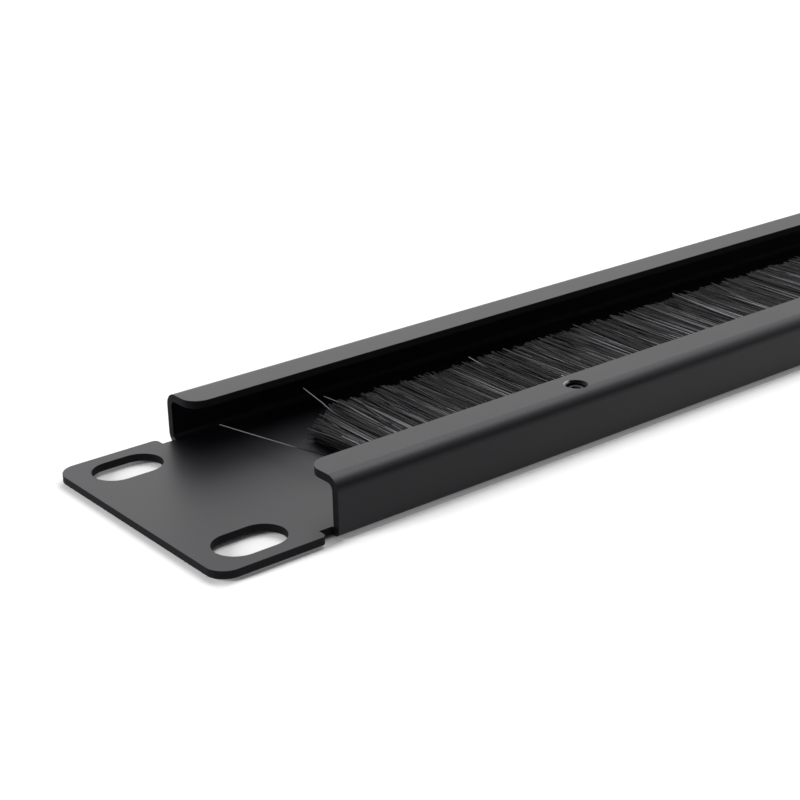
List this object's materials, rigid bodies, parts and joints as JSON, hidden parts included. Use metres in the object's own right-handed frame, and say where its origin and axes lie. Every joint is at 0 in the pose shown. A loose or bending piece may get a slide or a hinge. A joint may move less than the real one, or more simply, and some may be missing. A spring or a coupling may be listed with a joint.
{
  "type": "rack brush strip panel",
  "caption": "Folded black steel 19 inch rack panel, one rack unit high, with a long cable slot closed by a strip of dense black bristles held under one folded lip.",
  "frame": {"origin": "middle of the front face, on the surface that the panel lies on", "axes": "+X along the panel's length, +Y across its height from the brush holder towards the bristle tips, +Z from the front face to the lips"},
  "size_m": [0.4826, 0.0436, 0.0087],
  "materials": {
    "black_powder_coat": "satin, fine even powder coat",
    "zinc_plated_steel": "rolled zinc-plated strip, dull",
    "wire_steel": "drawn wire",
    "black_bristle": "drawn nylon filament, slight sheen",
    "black_oxide_steel": "black oxide, oiled"
  },
  "bodies": {
    "root": {"panel": "black_powder_coat", "brush_holder": "zinc_plated_steel", "core_wire": "wire_steel", "bristles": "black_bristle", "clamp_screw_1": "black_oxide_steel", "clamp_screw_2": "black_oxide_steel", "clamp_screw_3": "black_oxide_steel", "clamp_screw_4": "black_oxide_steel"}
  },
  "joints": []
}
